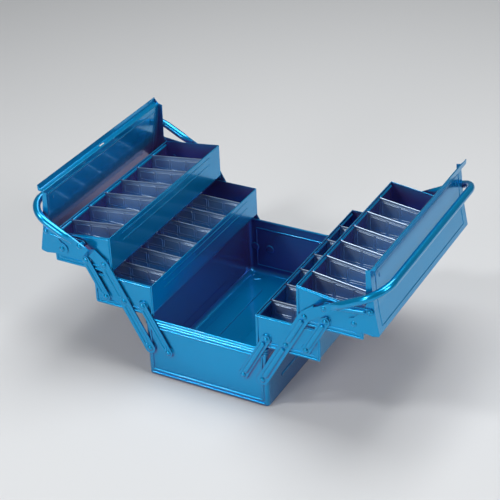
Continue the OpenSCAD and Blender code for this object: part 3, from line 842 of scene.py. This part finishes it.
def make_handle():
    y, straight = END + TUBE_OUT, REACH - BEND_R + GRIP_END
    start = -(len(GRIP) - 1) * GRIP_STEP - GRIP_END
    bpy.ops.object.select_all(action="DESELECT")
    bpy.ops.mesh.primitive_circle_add(vertices=28, radius=TUBE_R * MM, fill_type="NGON",
                                      location=(start * MM, -y * MM, 0), rotation=(0, math.radians(90), 0))
    loop = settled()
    edit(loop, "SELECT")
    bpy.ops.transform.resize(value=(1, *GRIP[0]))
    pick(loop, lambda at, edge: True, "EDGE")
    for (a, b), (c, d) in zip(GRIP, GRIP[1:]):
        push((GRIP_STEP, 0, 0), (1, c / a, d / b))
    push((straight, 0, 0))
    bend(-1)
    push((0, 2 * (y - BEND_R), 0))
    bend(1)
    push((-straight, 0, 0))
    for (a, b), (c, d) in zip(GRIP[::-1], GRIP[-2::-1]):
        push((-GRIP_STEP, 0, 0), (1, c / a, d / b))
    bpy.ops.mesh.edge_face_add()
    leave()
    loop.rotation_euler = (0, -math.radians(LEG_ANGLE), 0)
    loop.location = (handle_start.x * MM, 0, handle_start.y * MM)
    settled()
    outwards(loop)
    return soften(loop, 0.4, 2, 60)


dress_sides(make_handle(), "tube_handle", "arms", "handle")
print("two tube handles")

# %% [markdown]
# ## Spacers
# A short sleeve keeps the arm's raised end clear of the lid link. It is a turned ring that a rivet
# fills, so a cylinder with rolled edges and a sunken face at each end does it without a bore.

# %% Spacers
SLEEVE_R, SLEEVE_RIM = 4.8, 1.2


def make_spacer():
    bpy.ops.object.select_all(action="DESELECT")
    middle = (LINK_FACE + TOP_OUT) / 2
    bpy.ops.mesh.primitive_cylinder_add(vertices=32, radius=SLEEVE_R * MM, depth=(TOP_OUT - LINK_FACE) * MM,
                                        location=(neck_end.x * MM, -(END + middle) * MM, neck_end.y * MM),
                                        rotation=ON_END)
    sleeve = settled()
    edit(sleeve)
    pick(sleeve, lambda at, face: abs(face.normal.y) > 0.9)
    bpy.ops.mesh.inset(thickness=SLEEVE_RIM * MM, depth=-0.4 * MM)
    leave()
    return soften(sleeve, 0.4)


dress_sides(make_spacer(), "arm_sleeves", "arms", "spacers", BOTH_ENDS)
print("four sleeves")

# %% [markdown]
# ## Trays
# A tray is a sheet folded up along both long edges, closed by two end plates. The folded sheet is
# drawn once in the end view, with its real thickness, its wide folds and a hem along each rim, and
# pulled out along Y. The upper tray's outer wall is lower than its inner one.

# %% Tray outlines
STOREYS = {  # a tray's lower inner corner, its inner and outer heights and its rivets
    "lower": (lower_corner, LOWER_H, LOWER_H, [lower_link_pivot, lower_pivot, lower_out_pivot]),
    "upper": (upper_corner, UPPER_H, UPPER_H - RIM_FALL, [upper_pivot, upper_out_pivot]),
}
SHELL_Y = END - PLATE_T


def tray_view(storey, inset, radius, top_radius):
    """A tray's end view drawn in by an inset, with round lower corners."""
    corner, h_in, h_out, _ = STOREYS[storey]
    slope = (h_in - h_out) / TRAY_W
    x0, x1 = corner.x + inset, corner.x + TRAY_W - inset
    return rounded([(x0, corner.y + inset, radius), (x1, corner.y + inset, radius),
                    (x1, corner.y + h_out - inset + slope * inset, top_radius),
                    (x0, corner.y + h_in - inset - slope * inset, top_radius)])


print("storeys", list(STOREYS))

# %% [markdown]
# A box with its top open and a Solidify modifier would be quicker, but the hem is thicker than the
# wall below it, and the folds are wide outside and tighter inside. One drawn section has all of that,
# and two pressed lines on each wall are laid on it as beads.

# %% Folded sheets
SHEET, HEM = 1.0, 1.9  # the sheet, and the sheet folded over at the rim
HEM_H, HEM_END = 3.6, 4.2
OUTER_FOLD, INNER_FOLD, HEM_R, INNER_R = 9, 8, 0.8, 0.4
LINE_DROPS, LINE_HALF, LINE_W, LINE_H = (9, 22), 141, 2.6, 0.6


def make_shell(storey):
    corner, h_in, h_out, _ = STOREYS[storey]
    w = TRAY_W
    section = [(0, h_in, HEM_R), (0, 0, OUTER_FOLD), (w, 0, OUTER_FOLD), (w, h_out, HEM_R),
               (w - HEM, h_out, HEM_R), (w - HEM, h_out - HEM_H, INNER_R),
               (w - SHEET, h_out - HEM_END, INNER_R),
               (w - SHEET, SHEET, INNER_FOLD), (SHEET, SHEET, INNER_FOLD),
               (SHEET, h_in - HEM_END, INNER_R), (HEM, h_in - HEM_H, INNER_R), (HEM, h_in, HEM_R)]
    outline = rounded([(corner.x + x, corner.y + z, r) for x, z, r in section], 7)
    pieces = [pulled_out("shell", outline, SHELL_Y)]
    for drop in LINE_DROPS:
        for x, top, way in ((0, h_in, -1), (w, h_out, 1)):
            x, z = corner.x + x, corner.y + top - drop
            pieces.append(bead((x, -LINE_HALF, z), (x, LINE_HALF, z), LINE_W, LINE_H, (way, 0, 0)))
    return join(*pieces)


for storey in STOREYS:
    dress_sides(make_shell(storey), f"{storey}_folded_sheet", f"{storey}_storey", f"{storey}_tray")
    print(storey, "trays folded")

# %% [markdown]
# ## End plates
# Each end plate has a rounded line pressed close to its edge, a second line along its foot, and a
# round seat under every rivet. A bump in the finish could fake them, but the glossy coat shows their
# edges from every side, so they are modelled. The plate is made once and mirrored for the far end.

# %% End plates
CORNER_R, RIM_R = 3, 1
BORDER_IN, BORDER_R, BORDER_W, BORDER_H = 1.8, 3.9, 3.2, 1.6
FOOT_IN, FOOT_Z, FOOT_W, FOOT_H, FOOT_LIFT = 10, 9.4, 2.4, 1.1, 0.1


def make_end_plate(storey):
    corner, spots = STOREYS[storey][0], STOREYS[storey][3]
    foot = [Vector((corner.x + x, corner.y + FOOT_Z)) for x in (FOOT_IN, TRAY_W - FOOT_IN)]
    return join(plate("end_plate", tray_view(storey, 0, CORNER_R, RIM_R), -PLATE_T, 0),
                ring_panel(tray_view(storey, BORDER_IN, BORDER_R, 0), BORDER_W, BORDER_H, 0),
                rib(*foot, FOOT_W, FOOT_H, FOOT_LIFT), *[boss(spot, *RIVET_SEAT) for spot in spots])


for storey in STOREYS:
    dress_sides(make_end_plate(storey), f"{storey}_end_plates", f"{storey}_storey", f"{storey}_tray_ends",
                BOTH_ENDS)
    print(storey, "end plates pressed")

# %% [markdown]
# ## Rails
# Seven half-round rails run along each wall of a tray. The gaps between them are the slots that the
# dividers stand in. A rail is a bead cut flat just behind the wall's face, so that nothing of it
# comes out on the other side. One rail is modelled, and an Array modifier repeats it along Y.

# %% Rails
DIVIDERS = 6
CELL = 2 * SHELL_Y / (DIVIDERS + 1)
SLOT_GAP, RAIL_R, RAIL_DROP, BEHIND = 2.8, 3.1, 6.8, 0.4


def repeated(piece, count, step):
    """Copies a piece along Y."""
    row = piece.modifiers.new("row", "ARRAY")
    row.count, row.use_relative_offset, row.use_constant_offset = count, False, True
    row.constant_offset_displace = (0, step * MM, 0)
    applied(piece, row)
    return piece


def make_rails(storey):
    corner, h_in, h_out, _ = STOREYS[storey]
    first, last = -SHELL_Y + SLOT_GAP / 2, -SHELL_Y + CELL - SLOT_GAP / 2
    rows = []
    for x, top, way in ((SHEET, h_in, 1), (TRAY_W - SHEET, h_out, -1)):
        x, z = corner.x + x, corner.y + top - RAIL_DROP
        bar = bead((x, first, z), (x, last, z), 2 * RAIL_R, RAIL_R, (way, 0, 0), 20, 12)
        edit(bar, "SELECT")
        bpy.ops.mesh.bisect(plane_co=((x - way * BEHIND) * MM, 0, 0), plane_no=(way, 0, 0),
                            use_fill=True, clear_inner=True)
        leave()
        rows.append(repeated(bar, DIVIDERS + 1, CELL))
    return join(*rows)


for storey in STOREYS:
    dress_sides(make_rails(storey), f"{storey}_rail_bars", f"{storey}_storey", f"{storey}_rails")
print("rails laid")

# %% [markdown]
# ## Dividers
# A divider is a thin plated sheet with cut lower corners, a hem folded over its top, a fine line under
# the hem, and six pressed panels on each face. The panels are made on the front face and mirrored to
# the back one, and the first divider is then repeated from slot to slot.

# %% Divider outlines
DIVIDER_T, HEM_T, SIDE_GAP, CUT, TOP_DROP = 0.8, 2.2, 1.3, 9.0, 4.0
DIVIDER_W, FIRST_Y = TRAY_W - 2 * SIDE_GAP, CELL - SHELL_Y


def divider_outline(storey, points):
    """Corners given from a divider's lower left corner, put in their place in the end view."""
    corner = STOREYS[storey][0]
    return [(corner.x + SIDE_GAP + x, corner.y + z, r) for x, z, r in points]


def divider_top(storey, x):
    """The height of a divider's top edge, which falls outwards in the upper tray."""
    _, h_in, h_out, _ = STOREYS[storey]
    return h_in - TOP_DROP + (h_out - h_in) * x / DIVIDER_W


print("divider", DIVIDER_W, "mm wide, first at", FIRST_Y)

# %% [markdown]
# The panels stand in three columns and two rows, with a rounded line round each. They share one width,
# and in the upper tray the top row follows the falling edge, so each panel gets its own four corners.

# %% Pressed panels of a divider
MARGIN, GAP, COLUMNS = 5.0, 2.0, 3
PANEL_LOW, PANEL_TOP_GAP, LOW_SHARE = 11.0, 7.0, 0.46  # the lower row has less than half the height
PANEL_R, PANEL_W, PANEL_H, PANEL_SUNK = 2.4, 2.0, 0.55, 0.2


def divider_panels(storey):
    """Six panels on the front face and their mirror images on the back one."""
    face = -END - FIRST_Y + DIVIDER_T / 2
    width = (DIVIDER_W - 2 * MARGIN - (COLUMNS - 1) * GAP) / COLUMNS
    split = PANEL_LOW + (divider_top(storey, DIVIDER_W) - PANEL_LOW - PANEL_TOP_GAP) * LOW_SHARE
    panels = []
    for column in range(COLUMNS):
        x0 = MARGIN + column * (width + GAP)
        x1 = x0 + width
        ends = [divider_top(storey, x) - PANEL_TOP_GAP for x in (x0, x1)]
        for row in (((x0, PANEL_LOW), (x1, PANEL_LOW), (x1, split), (x0, split)),
                    ((x0, split + GAP), (x1, split + GAP), (x1, ends[1]), (x0, ends[0]))):
            view = rounded(divider_outline(storey, [(x, z, PANEL_R) for x, z in row]), 3)
            panel = ring_panel(view, PANEL_W, PANEL_H, face, PANEL_SUNK)
            panels += [panel, copied(panel, "panel_back", (0, 2 * FIRST_Y, 0), (1, -1, 1))]
    return panels


# %% [markdown]
# The hem is a second, thicker plate over the sheet's top edge with a soft edge all round. It is
# modelled apart from the sheet, because a fold of so thin a sheet can't be seen inside.

# %% Dividers
FOLD_H, FOLD_IN, FOLD_LINE_DROP, FOLD_LINE_IN = 4, 0.4, 5.4, 4
FOLD_LINE = (1.5, 0.45)  # width and height


def make_divider(storey):
    corner, middle, w = STOREYS[storey][0], -END - FIRST_Y, DIVIDER_W
    view = [(0, 1 + CUT, 1), (0, divider_top(storey, 0), 0), (w, divider_top(storey, w), 0),
            (w, 1 + CUT, 1), (w - CUT, 1, 1), (CUT, 1, 1)]
    half = DIVIDER_T / 2
    parts = [plate("divider", rounded(divider_outline(storey, view)), middle - half, middle + half, 0.15)]
    left, right = ((x, divider_top(storey, x)) for x in (FOLD_IN, w - FOLD_IN))
    view = [(left[0], left[1] - FOLD_H, 0.8), (*left, 1.6), (*right, 1.6),
            (right[0], right[1] - FOLD_H, 0.8)]
    half = HEM_T / 2
    parts.append(plate("hem", rounded(divider_outline(storey, view)), middle - half, middle + half, 0.7))
    for way in (1, -1):
        y = FIRST_Y - way * DIVIDER_T / 2
        ends = [(corner.x + SIDE_GAP + x, y, corner.y + divider_top(storey, x) - FOLD_LINE_DROP)
                for x in (FOLD_LINE_IN, w - FOLD_LINE_IN)]
        parts.append(bead(*ends, *FOLD_LINE, (0, -way, 0), 12, 6))
    return join(*parts, *divider_panels(storey))


for storey in STOREYS:
    dress_sides(repeated(make_divider(storey), DIVIDERS, CELL), f"{storey}_divider_set", f"{storey}_storey",
                f"{storey}_dividers", finish=zinc, slot="zinc")
print("dividers in their slots")

# %% [markdown]
# ## Base
# The base is one deep tub. A rounded rectangle is drawn at the ground and pushed upwards step by
# step. Each step is a height and how far it stands out, so the same loop makes the soft lower edge,
# the two ridges under the rim, the rolled rim, the inside wall and the wide fold round its floor. A
# lathe could not make a section with four corners, and a Solidify modifier would thin the rim.

# %% Tub
TUB_R, FLOOR_FOLD, FOLD_STEPS = 6, 9.0, 5
START = (0.0, -2.6)  # each step is a height, and how far it stands out from the wall
LOWER_EDGE = [(0.3, -1.5), (0.9, -0.7), (1.7, -0.2), (2.6, 0.0)]
RIDGE_FEET = (97.2, 101.8)
RIDGE = [(0.0, 0.0), (0.4, 0.5), (1.1, 1.0), (2.1, 1.0), (2.8, 0.5), (3.2, 0.0)]
ROLLED_RIM = [(106.2, 0.0), (106.6, 0.6), (107.3, 1.1), (108.7, 1.1), (109.7, 0.7), (110.4, 0.0),
              (110.5, -0.7), (110.3, -1.6), (109.5, -2.1), (107.2, -2.2), (106.4, -1.2)]


def tub_steps():
    """All steps of the tub's section, from the ground over the rim to the floor inside."""
    steps = LOWER_EDGE + [(foot + z, out) for foot in RIDGE_FEET for z, out in RIDGE] + ROLLED_RIM
    for k in range(FOLD_STEPS + 1):
        a = math.radians(90 / FOLD_STEPS * k)
        steps.append((PLATE_T + FLOOR_FOLD * (1 - math.sin(a)), -PLATE_T - FLOOR_FOLD * (1 - math.cos(a))))
    return steps


def round_rect(x0, z0, x1, z1, radius, steps=6):
    """A rounded rectangle between two opposite corners."""
    return rounded([(x0, z0, radius), (x1, z0, radius), (x1, z1, radius), (x0, z1, radius)], steps)


def make_tub():
    half_w, half_l = BASE_W / 2, BASE_L / 2
    outline = round_rect(-half_w, -half_l, half_w, half_l, TUB_R, 8)
    tub = sheet_face("base_tub", [(p.x, p.y, 0) for p in outline])
    edit(tub)
    pick(tub, lambda at, edge: True, "EDGE")
    z, out = START
    bpy.ops.transform.resize(value=((half_w + out) / half_w, (half_l + out) / half_l, 1),
                             center_override=(0, 0, 0))
    for next_z, next_out in tub_steps():
        scale = ((half_w + next_out) / (half_w + out), (half_l + next_out) / (half_l + out), 1)
        bpy.ops.mesh.extrude_edges_move(TRANSFORM_OT_translate={"value": (0, 0, (next_z - z) * MM)})
        bpy.ops.transform.resize(value=scale, center_override=(0, 0, 0))
        z, out = next_z, next_out
    bpy.ops.mesh.edge_face_add()
    leave()
    outwards(tub)
    smooth(tub)
    return tub


tub = make_tub()
print("tub", [round(v / MM, 2) for v in tub.dimensions])

# %% [markdown]
# Three broad ribs stiffen the floor, and two long ones each side wall. The floor's ribs are pads with
# round ends, wide and flat, so a bevelled plate fits them better than a bead would.

# %% Ribs of the base
FLOOR_RIB_X, FLOOR_RIB_HALF, FLOOR_RIB_W, FLOOR_RIB_H = (-72.5, 0, 72.5), 116, 30, 2.3
FLOOR_RIB_FOOT = 0.9
WALL_RIB_Z, WALL_RIB_HALF, WALL_RIB_OUT, WALL_RIB_W, WALL_RIB_H = (33.15, 66.3), 131, 0.2, 7.5, 1.4


def floor_rib():
    """A flat pad with round ends and soft edges, just sunk in the floor."""
    run = stadium(Vector((0, -FLOOR_RIB_HALF)), Vector((0, FLOOR_RIB_HALF)), FLOOR_RIB_W)
    pad = sheet_face("floor_rib", [(p.x, p.y, FLOOR_RIB_FOOT) for p in run])
    thicken(pad, (0, 0, FLOOR_RIB_H))
    return soften(pad, 1.6, 4, 30)


pattern = floor_rib()
pieces = [copied(pattern, "floor_rib", (x, 0, 0)) for x in FLOOR_RIB_X]
erase(pattern)
for z in WALL_RIB_Z:
    for way in (1, -1):
        x = way * (BASE_W / 2 + WALL_RIB_OUT)
        pieces.append(bead((x, -WALL_RIB_HALF, z), (x, WALL_RIB_HALF, z), WALL_RIB_W, WALL_RIB_H,
                           (way, 0, 0)))
print("ribs of the base", len(pieces))

# %% [markdown]
# Each end has a border line, a second line along its foot and two seats for the rivets on each side.
# The same pressings show on the inner face of the far end, a little smaller, and are laid on it. Small
# dimples are pressed in the floor's corners.

# %% Borders and dimples of the base
INSIDE = -END - SHELL_Y  # the level of the far end's inner face, seen from the front
OUTER_BORDER = (round_rect(-102.5, 10, 102.5, 96, 5), 3.8, 1.9)  # outline, width and height
INNER_BORDER = (round_rect(-97, 14, 97, 94, 5), 3.4, 0.9)
FOOT_LINE = (Vector((-103.5, 5.4)), Vector((103.5, 5.4)), 3.0, 1.2, 0.5)  # ends, width, height, level
INNER_SEAT, INNER_SEAT_SHIFT = (8.6, 6.4, 1.2), Vector((4, 0))
DIMPLES = [((92, 148), (78, 155)), ((100, 160), (95, 164))]
DIMPLE_Z, DIMPLE_W, DIMPLE_H = 1.4, 7, 1.3


def seats(spots, sizes, level):
    """Round seats at these places and at their mirror images."""
    return [boss(Vector((way * spot.x, spot.y)), *sizes, level) for way in (1, -1) for spot in spots]


end = join(ring_panel(*OUTER_BORDER, 0), rib(*FOOT_LINE),
           *seats((base_pivot, base_link_pivot), RIVET_SEAT, 0.0))
pieces += [copied(end, "base_end", mirror=(1, -1, 1)), end]
pieces.append(ring_panel(*INNER_BORDER, INSIDE))
pieces += seats((base_pivot - INNER_SEAT_SHIFT, base_link_pivot), INNER_SEAT, INSIDE)
for way in (1, -1):
    for (x0, y0), (x1, y1) in DIMPLES:
        pieces += [bead((side * x0, way * y0, DIMPLE_Z), (side * x1, way * y1, DIMPLE_Z),
                        DIMPLE_W, DIMPLE_H, (0, 0, 1)) for side in (1, -1)]
dress(join(tub, *pieces), "base", "base_body", "base_ends")
print("base dressed")

# %% [markdown]
# ## Lids
# Each lid is a roof folded from one sheet: a flange, an upright step, a wide face with a slight bend
# and a lip along the eave. It is drawn shut, where its folds are easy to measure, as a line with a
# radius at each fold. The line gets the sheet's thickness, then every point is turned about the hinge
# to where the open lid hangs.

# %% Lid outlines
LID_Y, ROOF_T = END + 1.5, 1.0
shut_hinge = Vector((95.0, 25.5))
ROOF = [(1.3, 90.5, 0), (9.8, 87.5, 1.6), (8.8, 79.0, 1.6), (74.0, 66.12, 14), (118.0, 61.5, 3),
        (117.0, 49.5, 0)]  # flange tip, ridge, foot of the step, bend, eave and lip


def opened(point):
    """Where a point of the shut lid's end view lies when the lid is open."""
    x, z = Vector(point) - shut_hinge
    a = math.radians(-LID_SWING)
    return lid_pivot + Vector((x * math.cos(a) - z * math.sin(a), x * math.sin(a) + z * math.cos(a)))


def ribbon(path, width):
    """Corners round a folded strip that follows a path of (x, z, radius)."""
    points = [Vector(p[:2]) for p in path]
    ways = [(b - a).normalized() for a, b in zip(points, points[1:])]
    shifts = []
    for i in range(len(points)):
        before, after = ways[max(i - 1, 0)], ways[min(i, len(ways) - 1)]
        middle = (before + after).normalized()
        shifts.append(Vector((-middle.y, middle.x)) * width / 2 / middle.dot(after))
    one = [(*(p + s), path[i][2]) for i, (p, s) in enumerate(zip(points, shifts))]
    two = [(*(p - s), path[i][2]) for i, (p, s) in enumerate(zip(points, shifts))]
    return one + two[::-1]


print("roof of a lid", len(ROOF), "folds")

# %% [markdown]
# A border line runs round the roof on both faces, and two short lines stand beside the ridge. They
# are beads laid on the slope, which bends once, so a line is given by two points of the shut roof.
# Small gussets close both ends of the channel that the flange and the step make.

# %% Lines and tabs on a lid
BORDER_Y, TICK_SHARE, ROOF_LINE_W, ROOF_LINE_H = 163, 0.92, 3.2, 0.8
RIDGE_LINE, BEND, EAVE_LINE = (19.0, 76.985), (74.0, 66.12), (108.0, 62.55)
TICK = ((27, 75.4), (34, 74.02))
TAB, TAB_FACES = ((1.6, 90.7), (9.7, 87.5), (8.7, 79.3)), (0.2, 1.4)


def slope(fold):
    """The way from one fold of the roof to the next."""
    (x0, z0, _), (x1, z1, _) = ROOF[fold:fold + 2]
    return Vector((x1 - x0, z1 - z0))


def roof_bead(p, p_y, q, q_y, inside):
    """A bead on the wide face between two points of the shut lid, on its outer or inner side."""
    way = slope(2) if max(p[0], q[0]) <= BEND[0] else slope(3)
    out = Vector((-way.y, way.x)).normalized() * (-1 if inside else 1)
    a, b = (opened(Vector(point) + out * ROOF_T / 2) for point in (p, q))
    normal = opened(shut_hinge + out) - lid_pivot
    return bead((a.x, p_y, a.y), (b.x, q_y, b.y), ROOF_LINE_W, ROOF_LINE_H, (normal.x, 0, normal.y), 12, 6)


def lid_border():
    lines = []
    for inside in (False, True):
        for line in (RIDGE_LINE, EAVE_LINE):
            lines.append(roof_bead(line, -BORDER_Y, line, BORDER_Y, inside))
        for y in (-BORDER_Y, BORDER_Y):
            lines += [roof_bead(p, y, q, y, inside) for p, q in ((RIDGE_LINE, BEND), (BEND, EAVE_LINE))]
            lines.append(roof_bead(TICK[0], y * TICK_SHARE, TICK[1], y * TICK_SHARE, inside))
    return lines


def lid_tabs():
    """The small gussets that close both ends of the channel beside the ridge."""
    tab = plate("tab", [opened(p) for p in TAB], *TAB_FACES, 0.3)
    return [tab, copied(tab, "tab_back", mirror=(1, -1, 1))]


print("lines and tabs ready")

# %% [markdown]
# The roof is pulled out from end to end, and a slot for a padlock is cut through its step with a
# Boolean modifier, because a slot across a folded face has no edge loop to start from.

# %% Lids
SLOT_AT, SLOT_SIZE = (9.3, 83.25), (8, 14, 3)


def make_lid():
    corners = [(*opened(p[:2]), p[2]) for p in ribbon(ROOF, ROOF_T)]
    lid = pulled_out("lid", rounded(corners, 5), LID_Y)
    slot_at = opened(SLOT_AT)
    bpy.ops.mesh.primitive_cube_add(size=1, location=(slot_at.x * MM, 0, slot_at.y * MM),
                                    rotation=(0, math.radians(LID_SWING), 0))
    tool = bpy.context.object
    tool.scale = Vector(SLOT_SIZE) * MM
    carve(lid, tool)
    return join(lid, *lid_border(), *lid_tabs())


dress_sides(make_lid(), "lid_roof", "lid_half", "lid")
print("lids hung")

# %% [markdown]
# ## Gables
# A gable is the flat plate that closes a lid's end and carries both its rivets. It follows the roof
# along its upper side and ends in a round lobe about the hinge, so the lobe is drawn as an arc.

# %% Gables
LOBE_R, LOBE_START, LOBE_SWEEP, LOBE_STEPS = 11, -51.7, 144.6, 14
KNEE_SHIFT, STEP_FOOT = Vector((7, 4.9)), (8.0, 72.0)


def make_gable():
    knee = shut_hinge + turned(LID_RIVET_ANGLE + LID_SWING, LID_RIVET_REACH) - KNEE_SHIFT
    lobe = [shut_hinge + turned(LOBE_START - LOBE_SWEEP * k / LOBE_STEPS, LOBE_R)
            for k in range(LOBE_STEPS + 1)]
    edge = [(*opened(p[:2]), 3 if i == 2 else 0) for i, p in enumerate(ROOF[2:])]
    edge += [(*opened(p), 0) for p in lobe]
    edge += [(*opened(knee), 12), (*opened(STEP_FOOT), 1)]
    return plate("gable", rounded(edge, 5), GABLE_IN, GABLE_OUT, 0.3)


dress_sides(make_gable(), "lid_gable_plates", "lid_half", "lid_gables", BOTH_ENDS)
print("gables on")
